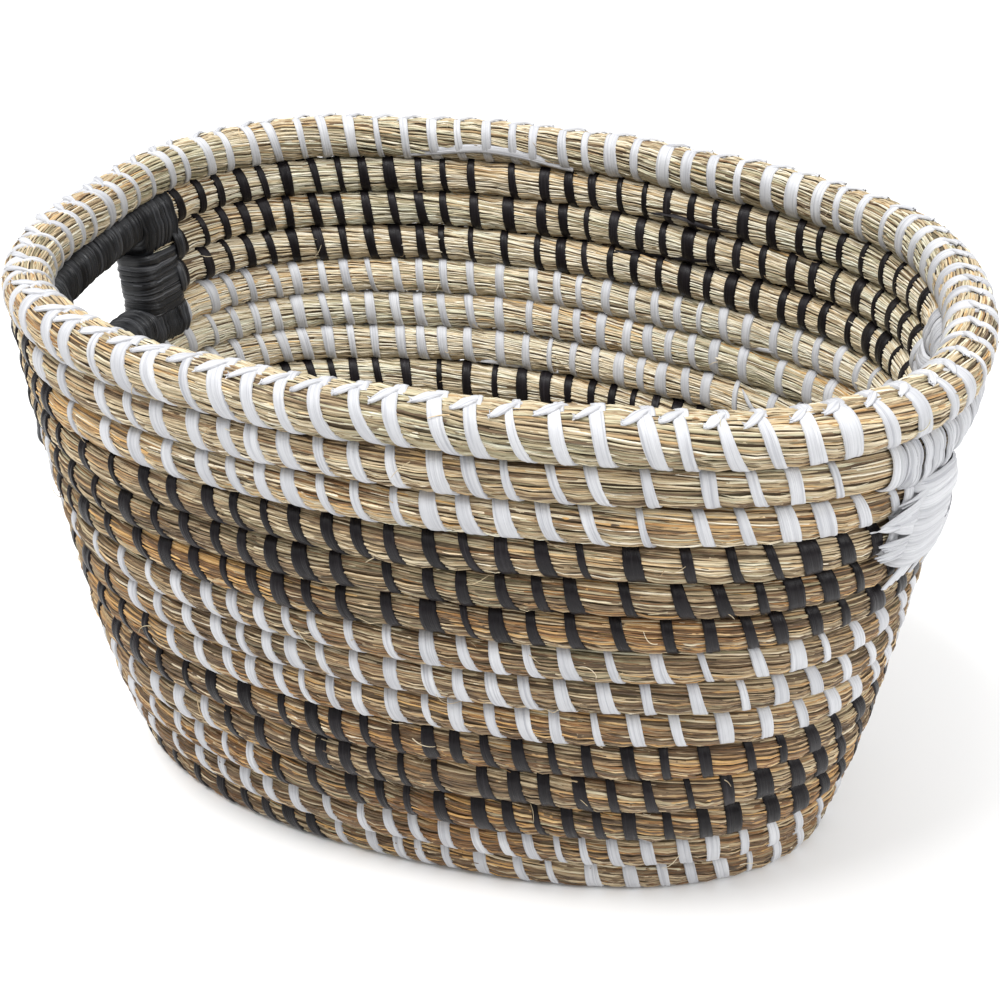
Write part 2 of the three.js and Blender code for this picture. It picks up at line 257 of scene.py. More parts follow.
def base_point(share, phi):
    wall = wall_point(FOOT_LEVEL, phi)
    along = unit(wall_point(FOOT_LEVEL, phi + 0.002) - wall_point(FOOT_LEVEL, phi - 0.002))
    out = np.stack([along[:, 1], -along[:, 0], 0 * along[:, 0]], -1)
    inset = coil_thickness(ROWS) / 2 + BASE_GAP
    outer = wall - out * inset
    x = CORE_HALF * np.clip(CORE_END_ROUNDING * outer[:, 0] / (FOOT_HALF[0] - inset), -1, 1)
    inner = np.stack([x, 0 * x, outer[:, 2]], -1)
    p = inner + (outer - inner) * share
    p[:, 2] = BASE_THICK / 2
    return p


# ---- Meshes ----

# Points lower than this above the floor are squeezed into the space that is left
FOOT_SOFT = 2


def mesh_object(name, parts, material):
    """One object from parts (points, uv, tone, warmth), as grids: strand, step, place across."""
    vertices, quads, uvs, tones, warms = [], [], [], [], []
    start = 0
    for points, uv, tone, warm in parts:
        n, a, b = points.shape[:3]
        index = np.arange(n * a * b).reshape(n, a, b) + start
        corners = [index[:, :-1, :-1], index[:, 1:, :-1], index[:, 1:, 1:], index[:, :-1, 1:]]
        quads.append(np.stack(corners, -1).reshape(-1, 4))
        vertices.append(points.reshape(-1, 3))
        uvs.append(uv.reshape(-1, 2))
        tones.append(np.broadcast_to(tone, (n, a, b)).reshape(-1))
        warms.append(np.broadcast_to(warm, (n, a, b)).reshape(-1))
        start += n * a * b
    vertices = np.concatenate(vertices)
    height = vertices[:, 2]
    squeezed = FOOT_SOFT * np.exp((np.minimum(height, FOOT_SOFT) - FOOT_SOFT) / FOOT_SOFT)
    vertices[:, 2] = np.where(height < FOOT_SOFT, squeezed, height)
    vertices = vertices * MM + CENTRE
    quads = np.concatenate(quads)
    mesh = bpy.data.meshes.new(name)
    mesh.vertices.add(len(vertices))
    mesh.vertices.foreach_set("co", vertices.astype(np.float32).ravel())
    mesh.loops.add(quads.size)
    mesh.loops.foreach_set("vertex_index", quads.astype(np.int32).ravel())
    mesh.polygons.add(len(quads))
    mesh.polygons.foreach_set("loop_start", np.arange(0, quads.size, 4, dtype=np.int32))
    mesh.update(calc_edges=True)
    mesh.shade_smooth()
    layer = mesh.uv_layers.new(name="UVMap")
    layer.data.foreach_set("uv", np.concatenate(uvs)[quads.ravel()].astype(np.float32).ravel())
    for label, values in (("tone", tones), ("warm", warms)):
        attribute = mesh.attributes.new(label, "FLOAT", "POINT")
        attribute.data.foreach_set("value", np.concatenate(values).astype(np.float32))
    obj = bpy.data.objects.new(name, mesh)
    scene.collection.objects.link(obj)
    mesh.materials.append(material)
    return obj


def piece(name, parts, material, slot, replaced=()):
    obj = mesh_object(name, parts, material)
    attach(obj, "root")
    if replaced:
        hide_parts(*replaced)


# ---- Grass ----

# A blade's section: places across it as shares of its half width, and their rise
BLADE_ACROSS = np.array([-1, -0.45, 0.45, 1])
BLADE_RISE = np.array([-1.1, 0.22, 0.22, -1.1])
BLADE_STEPS, BLADE_END = 17, 7
# Blades dip near a stitch, and a raised end keeps clear of one
DIP, DIP_FROM, DIP_OVER = 0.5, 5.2, 2.6
CLEAR_FROM, CLEAR_OVER = 4.6, 1.2
# The core lies under the blades and narrows to the ends of a cut row. Its near black tone is
# painted shade where it shows between the blades
CORE_LIFT, CORE_PAINTED_SHADE, CORE_STEP = -1.3, 0.07, 6
END_DROP, END_SPAN = 7.0, 6.0
# Blades for each patch of coil of a blade's length and width, and how many times they cover it
BLADE_LENGTH, BLADE_WIDTH, LAYERS = 92.0, 0.98, 2.1
# Steps of a sequence that covers a rectangle evenly
EVEN_S, EVEN_THETA = 0.7548776662, 0.5698402910
RAISED_SHARE = 0.05


def patches(coil, s, theta):
    """Slow change from golden through straw to grey-green along a coil."""
    slow = wave(s, coil.length, coil.seed + 1, 6, 2, 11)
    quick = wave(s, coil.length, coil.seed + 2, 6, 8, 34)
    return 0.55 * slow + 0.35 * quick + 0.25 * np.sin(theta + coil.seed % 7)


def straw_grid(coil, s0, length, theta, drift, lift, half, ends):
    """Narrow arched blades lying along the coil."""
    n = len(s0)
    t = np.linspace(0, 1, BLADE_STEPS)[None, :, None]
    s0, length, theta, drift, lift, half, ends = (
        v[:, None, None] for v in (s0, length, theta, drift, lift, half, ends)
    )
    phase = rng.uniform(0, TURN, (n, 1, 1))
    s = s0 + length * t
    sway = 0.024 * np.sin(TURN * length * t / 90 + phase)
    centre = theta + drift * length * (t - 0.5) + sway
    taper = np.clip(np.minimum(t, 1 - t) * length / BLADE_END, 0, 1) ** 0.7
    width = half * (0.3 + 0.7 * taper)
    around = centre + BLADE_ACROSS * width / RADIUS
    height = lift + BLADE_RISE * width * 0.7 - 1.1 * (1 - taper)
    height = height + 0.07 * np.sin(TURN * length * t / 60 + 2 * phase)
    near = coil.look_up(coil.nearest, coil.without_lean(s, centre))
    height = height - DIP * np.clip((DIP_FROM - near) / DIP_OVER, 0, 1)
    clear = np.clip((near - CLEAR_FROM) / CLEAR_OVER, 0, 1)
    height = height + ends * clear * np.clip(t - 0.84, 0, 1) / 0.16
    s = s + 0 * around
    return coil.point(s, around, height), shifted_uv(s, BLADE_ACROSS * width, s), s


def core(coil, start, end, whole):
    """The bundle under the blades, near black with painted shade where it shows between them."""
    steps = max(8, int((end - start) / CORE_STEP))
    s = np.linspace(start, end, steps + 1)[None, :, None]
    theta = np.linspace(0, TURN, 29)[None, None, :]
    s, theta = s + 0 * theta, theta + 0 * s
    lift = np.full(s.shape, CORE_LIFT)
    if not whole:
        near = np.minimum(s - start, end - s)
        lift = lift - END_DROP * np.clip(1 - near / END_SPAN, 0, 1) ** 2
    uv = np.stack([s * MM, theta * RADIUS * MM], -1)
    # The core's tone is painted shade for the gaps between blades
    return coil.point(s, theta, lift), uv, CORE_PAINTED_SHADE, patches(coil, s, theta)


def grass(coil, start, end, inside=0.0, outside=0.0):
    """The grass of a coil between two places: its core and its blades.

    inside and outside are added to the tone of the blades that face those ways: inside is painted
    light on the inward blades, outside is painted shade on the outward ones, and the blades' warmth
    shifts with both.
    """
    span = end - start
    whole = coil.closed and abs(span - coil.length) < 1e-6
    parts = [core(coil, start, end, whole)]
    n = int(span / BLADE_LENGTH * (TURN * RADIUS / BLADE_WIDTH) * LAYERS)
    spread = np.arange(n)
    along = np.mod(0.5 + spread * EVEN_S, 1)
    angle = np.mod(0.5 + spread * EVEN_THETA, 1) * TURN + rng.normal(0, 0.03, n)
    length = np.minimum(rng.uniform(50, 134, n), span * 0.8)
    if whole:
        s0 = start + along * span
    else:
        s0 = start + (along * 1.12 - 0.12) * (span - length * 0.9)
        s0 = np.clip(s0, start + rng.uniform(0, 3, n), end - length - rng.uniform(0, 3, n))
    common = rng.normal(-0.0070, 0.0014)
    drift = rng.normal(common, 0.0024, n)
    lift = rng.uniform(-0.58, 0.16, n)
    half = rng.uniform(0.26, 0.58, n)
    ends = np.where(rng.random(n) < RAISED_SHARE, rng.uniform(0.8, 2.4, n), 0.0)
    points, uv, s = straw_grid(coil, s0, length, angle, drift, lift, half, ends)
    out, back = np.clip(np.cos(angle), 0, 1), np.clip(-np.cos(angle), 0, 1)
    # Painted light on inward blades and painted shade on outward ones, through their tone; their
    # warmth shifts with it
    tone = np.clip(0.50 + 0.24 * rng.normal(size=n) + outside * out + inside * back, 0.06, 1)
    warm = patches(coil, s.mean((1, 2)), angle) + 0.45 * rng.normal(size=n)
    warm = warm - 2.0 * outside * out - 0.6 * inside * back
    parts.append((points, uv, tone[:, None, None], warm[:, None, None]))
    return parts


# ---- Strip ----

# A strip's section: places across it as shares of its half width, and their drop at the edges
STRIP_ACROSS = np.array([-1.0, -0.97, -0.66, -0.33, 0.0, 0.33, 0.66, 0.97, 1.0])
STRIP_EDGE = 0.16
STITCH_STEPS = 20


def shifted_uv(u, v, like):
    """Texture places in metres, moved at random from strip to strip."""
    size = (len(like), 1, 1)
    u = u * MM + rng.uniform(0, 3, size) + 0 * like
    return np.stack([u, v * MM + rng.uniform(0, 3, size) + 0 * like], -1)


def strip_shades(n):
    """Random tone and warmth for each strip."""
    return rng.random(n)[:, None, None], rng.normal(size=n)[:, None, None]


def strip_widths(n, mean):
    return np.clip(rng.normal(mean, mean * 0.26, n), mean * 0.6, mean * 1.5)


def ribbons(coil, s, theta, lift, width, crown=0.10, skirt=1.3, crease=0.075, tilt=0.0):
    """Flat strips on a coil. s, theta, lift and width are given along each strip's middle line."""
    n, steps = s.shape
    ds = np.gradient(s, axis=1)
    dt = np.gradient(theta, axis=1) * STRIP_RADIUS
    norm = np.sqrt(ds**2 + dt**2) + 1e-9
    side_s, side_t = -dt / norm, ds / norm
    across = STRIP_ACROSS
    drop = np.array([-skirt, -STRIP_EDGE, 0, 0, 0, 0, 0, -STRIP_EDGE, -skirt])
    width = np.broadcast_to(width, s.shape)[..., None] / 2
    ridge = rng.normal(0, crease, (n, 1, 9))
    slow = rng.normal(0, crease * 0.6, (n, 1, 9)) * np.sin(np.linspace(0, 5, steps))[None, :, None]
    ridge = (ridge + slow) * (np.abs(across) < 0.9)
    ss = s[..., None] + side_s[..., None] * across * width
    tt = theta[..., None] + side_t[..., None] * across * width / STRIP_RADIUS
    height = lift[..., None] + crown * (1 - across**2) + drop + ridge + tilt * across
    points = coil.point(ss, tt, height)
    return points, shifted_uv(np.cumsum(norm, 1)[..., None], across * width, ss)


def stitches(coil, s, theta, widths):
    """Strips whose ends tuck into the bundle."""
    n = len(s)
    t = np.linspace(0, 1, STITCH_STEPS)[None, :]
    width = widths[:, None] * (0.88 + 0.12 * np.sin(math.pi * t) + 0.05 * rng.normal(size=(n, 1)))
    width = width * (1 + 0.09 * np.sin(TURN * t + rng.uniform(0, TURN, (n, 1))))
    tuck = np.clip((np.abs(2 * t - 1) - 0.84) / 0.16, 0, 1)
    lift = 0.48 - 1.1 * tuck + rng.uniform(-0.1, 0.2, (n, 1))
    points, uv = ribbons(coil, s, theta, lift, width)
    return points, uv, *strip_shades(n)


def wall_stitches(coil, places, outer, top, bottom, widths):
    """Stitches down the outside or inside of a row, between two heights in degrees."""
    n = len(places)
    t = np.linspace(0, 1, STITCH_STEPS)[None, :]
    degrees = top + (bottom - top) * t if outer else (180 - top) + (top - bottom) * t
    theta = degrees * DEG + np.zeros((n, 1))
    down = np.clip((90 - degrees) / 180 if outer else (degrees - 90) / 180, 0, 1)
    scale = rng.uniform(0.78, 1.22, (n, 1))
    s = places[:, None] + coil.stitch_path(down, outer) * scale
    s = s + 0.4 * np.sin(np.linspace(0, 4, STITCH_STEPS)[None, :] + rng.uniform(0, TURN, (n, 1)))
    return stitches(coil, s, theta, widths)


def base_stitches(coil, places, above, widths):
    """Stitches of a flat-lying coil: over its top, or under it."""
    n = len(places)
    t = np.linspace(0, 1, STITCH_STEPS)[None, :]
    theta = ((-13 if above else 167) + 206 * t) * DEG + np.zeros((n, 1))
    s = places[:, None] + (t - 0.5) * rng.uniform(1.5, 5.5, (n, 1)) * (1 if above else -1)
    return stitches(coil, s, theta, widths)


# ---- Materials ----


class Nodes:
    """Short calls for building a node tree."""

    def __init__(self, name):
        self.material = bpy.data.materials.new(name)
        self.material.use_nodes = True
        self.tree = self.material.node_tree
        self.shader = self.tree.nodes["Principled BSDF"]

    def add(self, kind, inputs=(), **settings):
        node = self.tree.nodes.new(kind)
        for key, value in settings.items():
            setattr(node, key, value)
        for key, value in dict(inputs).items():
            if isinstance(value, bpy.types.NodeSocket):
                self.tree.links.new(value, node.inputs[key])
            else:
                node.inputs[key].default_value = value
        return node

    def attribute(self, name):
        return self.add("ShaderNodeAttribute", attribute_name=name).outputs["Fac"]

    def noise(self, vector, scale, detail, rough, stretch=None):
        if stretch:
            vector = self.add("ShaderNodeMapping", {"Vector": vector, "Scale": stretch}).outputs[0]
        inputs = {"Vector": vector, "Scale": scale, "Detail": detail, "Roughness": rough}
        return self.add("ShaderNodeTexNoise", inputs).outputs["Fac"]

    def ramp(self, value, stops):
        node = self.add("ShaderNodeValToRGB", {"Fac": value})
        ramp = node.color_ramp
        while len(ramp.elements) < len(stops):
            ramp.elements.new(0.5)
        for element, (place, *colour) in zip(ramp.elements, stops):
            element.position = place
            element.color = (*colour, 1)
        return node.outputs["Color"]

    def spread(self, value, low, high, to_low=0.0, to_high=1.0):
        inputs = {0: value, 1: low, 2: high, 3: to_low, 4: to_high}
        return self.add("ShaderNodeMapRange", inputs).outputs["Result"]

    def math(self, operation, a, b):
        return self.add("ShaderNodeMath", {0: a, 1: b}, operation=operation).outputs[0]

    def mix(self, share, a, b, blend="MIX"):
        inputs = {0: share, 6: a, 7: b}
        return self.add("ShaderNodeMix", inputs, data_type="RGBA", blend_type=blend).outputs[2]

    def link(self, output, name):
        self.tree.links.new(output, self.shader.inputs[name])

    def bump(self, height, distance, strength):
        inputs = {"Height": height, "Distance": distance, "Strength": strength}
        self.link(self.add("ShaderNodeBump", inputs).outputs["Normal"], "Normal")


# Colours of dry grass from near black, the painted shade of its grooves, to its pale blades
STRAW = [
    (0.0, 0.050, 0.028, 0.014), (0.18, 0.21, 0.140, 0.075), (0.42, 0.45, 0.345, 0.205),
    (0.62, 0.58, 0.475, 0.310), (0.82, 0.70, 0.61, 0.44), (1.0, 0.80, 0.74, 0.60),
]
GOLDEN = [
    (0.0, 0.060, 0.028, 0.010), (0.2, 0.27, 0.13, 0.045), (0.45, 0.54, 0.31, 0.105),
    (0.7, 0.68, 0.43, 0.17), (1.0, 0.80, 0.62, 0.36),
]
GREEN = [
    (0.0, 0.050, 0.038, 0.020), (0.2, 0.19, 0.16, 0.085), (0.5, 0.42, 0.375, 0.235),
    (0.8, 0.60, 0.57, 0.41), (1.0, 0.73, 0.72, 0.58),
]
# Painted shade: a dark brown for the grooves between fibres
FIBRE_GROOVE_SHADE = (0.19, 0.12, 0.06, 1)


def grass_material(name, dark=1.0, gold=0.0):
    """Dry grass: fine lengthwise fibres and mottling. dark scales the colour, gold warms it."""
    k = Nodes(name)
    uv = k.add("ShaderNodeUVMap", uv_map="UVMap").outputs["UV"]
    place = k.add("ShaderNodeTexCoord").outputs["Object"]
    tone, warm = k.attribute("tone"), k.attribute("warm")
    fibre = k.noise(uv, 1.0, 3.0, 0.6, (45.0, 2600.0, 1.0))
    mottle = k.noise(uv, 1.0, 4.0, 0.6, (130.0, 420.0, 1.0))
    blotch = k.noise(place, 26.0, 3.0, 0.5)
    shade = k.math("ADD", tone, k.spread(fibre, 0.3, 0.7, -0.16, 0.16))
    shade = k.math("ADD", shade, k.spread(mottle, 0.3, 0.7, -0.09, 0.09))
    straw, golden, green = (k.ramp(shade, stops) for stops in (STRAW, GOLDEN, GREEN))
    warm = k.math("ADD", warm, k.spread(blotch, 0.3, 0.7, -0.55 + gold, 0.20 + gold))
    colour = k.mix(k.spread(warm, 0.35, 1.35), straw, golden)
    colour = k.mix(k.spread(warm, -0.35, -1.25), colour, green)
    # Painted shade in the fibre grooves, where the fibre noise is low
    colour = k.mix(k.spread(fibre, 0.36, 0.50, 0.42, 0.0), colour, FIBRE_GROOVE_SHADE)
    colour = k.mix(1.0, colour, (dark, dark, dark, 1), "MULTIPLY")
    k.link(colour, "Base Color")
    k.link(k.spread(mottle, 0.3, 0.7, 0.52, 0.78), "Roughness")
    k.shader.inputs["Specular IOR Level"].default_value = 0.38
    k.shader.inputs["Sheen Weight"].default_value = 0.08
    k.bump(k.math("ADD", fibre, k.math("MULTIPLY", mottle, 0.6)), 0.00022, 0.65)
    return k.material


def strip_material(name, stops, rough, streak, ink, gloss=0.4):
    """Flat strip: lengthwise streaks of ink over a colour that varies from strip to strip."""
    k = Nodes(name)
    uv = k.add("ShaderNodeUVMap", uv_map="UVMap").outputs["UV"]
    place = k.add("ShaderNodeTexCoord").outputs["Object"]
    tone = k.attribute("tone")
    fine = k.noise(uv, 1.0, 3.0, 0.6, (25.0, 2300.0, 1.0))
    broad = k.noise(uv, 1.0, 3.0, 0.6, (18.0, 900.0, 1.0))
    cloud = k.noise(place, 60.0, 3.0, 0.5)
    shade = k.math("ADD", k.math("MULTIPLY", tone, 0.5), k.spread(broad, 0.3, 0.7, -0.05, 0.55))
    colour = k.ramp(shade, stops)
    colour = k.mix(k.spread(fine, 0.30, 0.47, streak, 0.0), colour, ink)
    colour = k.mix(k.spread(broad, 0.33, 0.46, streak, 0.0), colour, ink)
    colour = k.mix(k.spread(cloud, 0.52, 0.75, 0.0, 0.22), colour, ink)
    k.link(colour, "Base Color")
    k.link(k.spread(broad, 0.3, 0.7, rough[0], rough[1]), "Roughness")
    k.shader.inputs["Specular IOR Level"].default_value = gloss
    k.bump(k.math("ADD", fine, k.math("MULTIPLY", broad, 1.5)), 0.00026, 0.9)
    return k.material


GRASS = grass_material("seagrass_coil_look")
RIM_GRASS = grass_material("seagrass_rim_look", 0.93, -0.22)
BASE_GRASS = grass_material("seagrass_base_look", 0.86)
WHITE_STOPS = [
    (0.0, 0.40, 0.405, 0.425), (0.35, 0.485, 0.49, 0.51),
    (0.7, 0.555, 0.56, 0.58), (1.0, 0.65, 0.655, 0.67),
]
WHITE = strip_material("light_strip_look", WHITE_STOPS, (0.42, 0.62), 0.55, (0.31, 0.315, 0.35, 1))
BLACK_STOPS = [
    (0.0, 0.003, 0.0025, 0.003), (0.45, 0.0065, 0.005, 0.006),
    (0.8, 0.013, 0.011, 0.0125), (1.0, 0.030, 0.026, 0.030),
]
BLACK_INK = (0.022, 0.018, 0.022, 1)
BLACK = strip_material("dark_strip_look", BLACK_STOPS, (0.27, 0.46), 0.45, BLACK_INK, 0.17)
WOUND_STOPS = [
    (0.0, 0.0015, 0.0015, 0.0018), (0.35, 0.006, 0.006, 0.007),
    (0.6, 0.022, 0.0225, 0.025), (0.8, 0.06, 0.062, 0.068), (1.0, 0.14, 0.143, 0.155),
]
WOUND_INK = (0.060, 0.064, 0.072, 1)
BLACK_WOUND = strip_material("dark_winding_look", WOUND_STOPS, (0.24, 0.42), 0.5, WOUND_INK, 0.30)

# ---- Wall: where each stitch goes, and which colour it is ----

# Strip colours of rows 1 to 14 on the two long sides, and where the front's colour takes over
FRONT = "WWWBBBWWWBBBWW"
BACK = "WBBBWWWBBBWWWB"
CHANGE_LEFT = {2: 213, 3: 216, 5: 211, 6: 208, 8: 220, 9: 222, 11: 227, 12: 236, 14: 244}
CHANGE_LEFT_ELSEWHERE, CHANGE_RIGHT = 220, 5.0
BOUND_ROWS = (2, 3, 4, 5)
# Stitches round the rim, how much a column of them strays from row to row, and their least distance
COLUMNS, STRAY, LEAST_APART = 81, 0.36, 10.3
STITCH_DEPTH, RIM_STITCH_DEPTH = 0.07, 0.05
# Painted shade: tone added to the outside of the rows below the rim, darkening the lower outer
# wall: at these rows, this much
OUTSIDE_PAINTED_SHADE = (3, 5, 8, 14), (-0.08, -0.27, -0.36, -0.38)
# Of the grass: look, slot, tone added inside as painted light. Of the stitches: width, height of
# both ends in degrees, how far the inner ones are from the outer ones along the coil
RIM_MAKE = (RIM_GRASS, "seagrass_rim", 0.12, 4.9, 96.0, -100.0, 2.0)
ROW_MAKE = (GRASS, "seagrass_coil", 0.30, 4.8, 104.0, -104.0, 10.5)
BOUND_SQUEEZE = 0.10


def past_binding(degrees):
    """Degrees beyond the end of the nearer hand hole's binding, negative inside it."""
    return np.minimum(*(np.abs(wrap(degrees - hole)) - BINDING[hole] for hole in BINDING))


def is_white(row, degrees):
    change = CHANGE_LEFT.get(row, CHANGE_LEFT_ELSEWHERE)
    degrees = np.mod(degrees, 360)
    front = (degrees > change) | (degrees < CHANGE_RIGHT)
    return np.where(front, FRONT[row - 1] == "W", BACK[row - 1] == "W")


def next_columns(columns, coil):
    """Stitch places of the next row down: almost under the ones above, thinned where they crowd."""
    columns = np.sort(np.mod(columns + rng.normal(0, STRAY, len(columns)), 360))
    while True:
        s = coil.s_at(columns)
        gap = np.diff(np.append(s, s[0] + coil.length))
        if gap.min() >= LEAST_APART:
            break
        i = int(gap.argmin())
        before, after = (i - 1) % len(gap), (i + 1) % len(gap)
        columns = np.delete(columns, i if gap[before] < gap[after] else after)
    pull = 0.25 * (np.roll(s, -1) + np.roll(s, 1) - 2 * s)
    pull[0] = pull[-1] = 0
    return coil.degrees_at(s + pull * 0.6)


coils = {row: wall_coil(row) for row in range(1, ROWS + 1)}
columns = (np.arange(COLUMNS) + rng.uniform(-0.13, 0.13, COLUMNS)) * 360 / COLUMNS
columns = coils[1].degrees_at(columns / 360 * coils[1].length)
places = {}
for row, coil in coils.items():
    if row > 1:
        columns = next_columns(columns, coil)
    keep = columns
    if row in BOUND_ROWS:
        under_fan = (row == 5) & (columns > 330) & (columns < 341.5)
        keep = columns[(past_binding(columns) > 1.2) | under_fan]
        coil.squeeze = 1 - BOUND_SQUEEZE * np.clip((0.8 - past_binding(coil.degrees)) / 1.6, 0, 1)
    if row == 2:
        keep = keep[(keep < 328) | (keep > 340)]
    places[row] = keep
    if row == 1:
        coil.lean_out = RIM_LEAN_OUT
    coil.set_stitches(coil.s_at(keep), RIM_STITCH_DEPTH if row == 1 else STITCH_DEPTH)

for row, coil in coils.items():
    look, slot, inside_painted_light, width, top, bottom, step = RIM_MAKE if row == 1 else ROW_MAKE
    name = "rim_coil" if row == 1 else f"wall_row_{row:02d}"
    # Painted shade on the outside of the rows below the rim; the inside gets painted light
    outside_painted_shade = 0.0 if row == 1 else np.interp(row, *OUTSIDE_PAINTED_SHADE)
    if row in CUT_ROWS:
        right, left = STUB[RIGHT_HOLE], STUB[LEFT_HOLE]
        back = coil.s_at(RIGHT_HOLE + right), coil.s_at(LEFT_HOLE - left)
        front = coil.s_at(LEFT_HOLE + left), coil.s_at(RIGHT_HOLE + 360 - right)
        for side, span in (("back", back), ("front", front)):
            parts = grass(coil, *span, inside_painted_light, outside_painted_shade)
            piece(f"{name}_{side}_grass", parts, look, slot, [f"{name}_{side}"])
    else:
        parts = grass(coil, 0, coil.length, inside_painted_light, outside_painted_shade)
        piece(f"{name}_grass", parts, look, slot, [name])
    s = coil.s_at(places[row])
    white = is_white(row, places[row])
    widths = strip_widths(len(s), width)
    for chosen, wider, label, strip, finish in (
        (white, 1.0, "light", WHITE, "light_strip"),
        (~white, 1.04, "dark", BLACK, "dark_strip"),
    ):
        if not chosen.any():
            continue
        w = widths[chosen] * wider
        parts = [
            wall_stitches(coil, s[chosen], True, top, bottom, w),
            wall_stitches(coil, s[chosen] + step, False, top, bottom, w),
        ]
        piece(f"{name}_{label}_stitches", parts, strip, finish)

# ---- Base: oval coils round a straight one ----

PITCH = 1 / (BASE_RINGS + 0.5)
BASE_HALF_HEIGHT = BASE_THICK / 2 * 0.95
BASE_STITCH_APART, BASE_STITCH_DEPTH, BASE_STITCH_WIDTH = 12.6, 0.06, 4.6


def flat_coil(centre, across, closed):
    upright = np.broadcast_to([0.0, 0.0, 1.0], centre.shape)
    return Coil(centre, upright, across, np.full(len(centre), BASE_HALF_HEIGHT), closed)


def base_coil(ring):
    phi = np.linspace(0, TURN, PLAN_STEPS, endpoint=False)
    share = 1 - (ring - 1) * PITCH
    outer, inner = base_point(share, phi), base_point(share - PITCH, phi)
    across = np.linalg.norm(outer - inner, axis=1) / 2
    return flat_coil((outer + inner) / 2, across * 1.02, True)


def core_coil():
    edge = base_point(PITCH / 2, np.linspace(0, TURN, 721))
    reach = edge[:, 0].max() - 1.5
    x = np.linspace(-reach, reach, 400)
    width = np.interp(x, edge[360:0:-1, 0], np.abs(edge[360:0:-1, 1]))
    centre = np.stack([x, 0 * x, 0 * x + BASE_THICK / 2], -1)
    return flat_coil(centre, np.maximum(width * 1.02, 3.0), False)


for ring in range(BASE_RINGS + 1):
    coil = core_coil() if ring == 0 else base_coil(ring)
    name = "base_core" if ring == 0 else f"base_ring_{ring}"
    coil.lean_out = coil.lean_in = 0.0
    count = int(coil.length / BASE_STITCH_APART)
    s = (np.arange(count) + 0.5 + rng.uniform(-0.14, 0.14, count)) * coil.length / count
    coil.set_stitches(s, BASE_STITCH_DEPTH)
    piece(name + "_grass", grass(coil, 0, coil.length), BASE_GRASS, "seagrass_base", [name])
    widths = strip_widths(count, BASE_STITCH_WIDTH)
    parts = [base_stitches(coil, s, above, widths) for above in (True, False)]
    strip, finish = (BLACK, "dark_strip") if ring > 1 else (WHITE, "light_strip")
    piece(name + "_stitches", parts, strip, finish)

# ---- Strips that lie across the coils ----


def smooth_through(points, steps):
    """Points along a smooth curve through a few given ones, one row per curve."""
    points = np.asarray(points, float)
    count = points.shape[1]
    t = np.linspace(0, count - 1, steps)
    k = np.clip(t.astype(int), 0, count - 2)
    f = (t - k)[None, :, None]
    before, after = 2 * points[:, :1] - points[:, 1:2], 2 * points[:, -1:] - points[:, -2:-1]
    padded = np.concatenate([before, points, after], 1)
    a, b, c, d = (padded[:, k + shift] for shift in range(4))
    square, cube = 2 * a - 5 * b + 4 * c - d, 3 * b - a - 3 * c + d
    return 0.5 * (2 * b + (c - a) * f + square * f**2 + cube * f**3)


def face_ribbons(coil, paths, widths, taper, side=1, steps=18, twist=0.0):
    """Strips through (s, up, out) from a coil's middle, on its outer (1) or inner (-1) face."""
    p = smooth_through(paths, steps)
    n = len(p)
    s, up, out = p[..., 0], p[..., 1], p[..., 2]
    ds, du = np.gradient(s, axis=1), np.gradient(up, axis=1)
    norm = np.sqrt(ds**2 + du**2) + 1e-9
    side_s, side_u = -du / norm, ds / norm
    across = np.array([-1, -0.96, -0.5, 0.0, 0.5, 0.96, 1])
    drop = np.array([-0.5, 0, 0, 0, 0, 0, -0.5])
    t = np.linspace(0, 1, steps)[None, :]
    width = np.asarray(widths)[:, None] / 2 * taper(t)
    roll = twist * np.sin(math.pi * t * 1.5 + rng.uniform(0, 3, (n, 1)))
    reach = width[..., None] * across
    ridge = rng.normal(0, 0.07, (n, 1, 7)) * (np.abs(across) < 0.9)
    ss = s[..., None] + side_s[..., None] * reach * np.cos(roll)[..., None]
    uu = up[..., None] + side_u[..., None] * reach * np.cos(roll)[..., None]
    oo = out[..., None] + (0.2 * (1 - across**2) + drop + ridge) + reach * np.sin(roll)[..., None]
    points = coil.offset(ss, side * oo, uu)
    if side < 0:
        points = points[:, :, ::-1]
    uv = shifted_uv(np.cumsum(norm, 1)[..., None], reach, ss)
    return points, uv, *strip_shades(n)


# How a strip's width changes from its start, 0, to its end, 1


def to_point(t):
    return np.clip((1.02 - t) / 0.55, 0.06, 1) ** 0.8


def to_fray(t):
    return 1 - 0.25 * t


def to_tip(t):
    return np.clip((1.03 - t) / 0.4, 0.12, 1) ** 0.8


def from_tip(t):
    return 0.25 + 0.75 * np.clip(t / 0.25, 0, 1) ** 0.7


# ---- Crest of the rim: each strip end folds back over the top ----

THREADS = 3
# A flap turns from this angle on the inside over the top, by about this much
FLAP_FROM, FLAP_SWEEP = 110, 50
# Flaps are shorter within about this many degrees of the right end
RIGHT_END_SPAN = 42

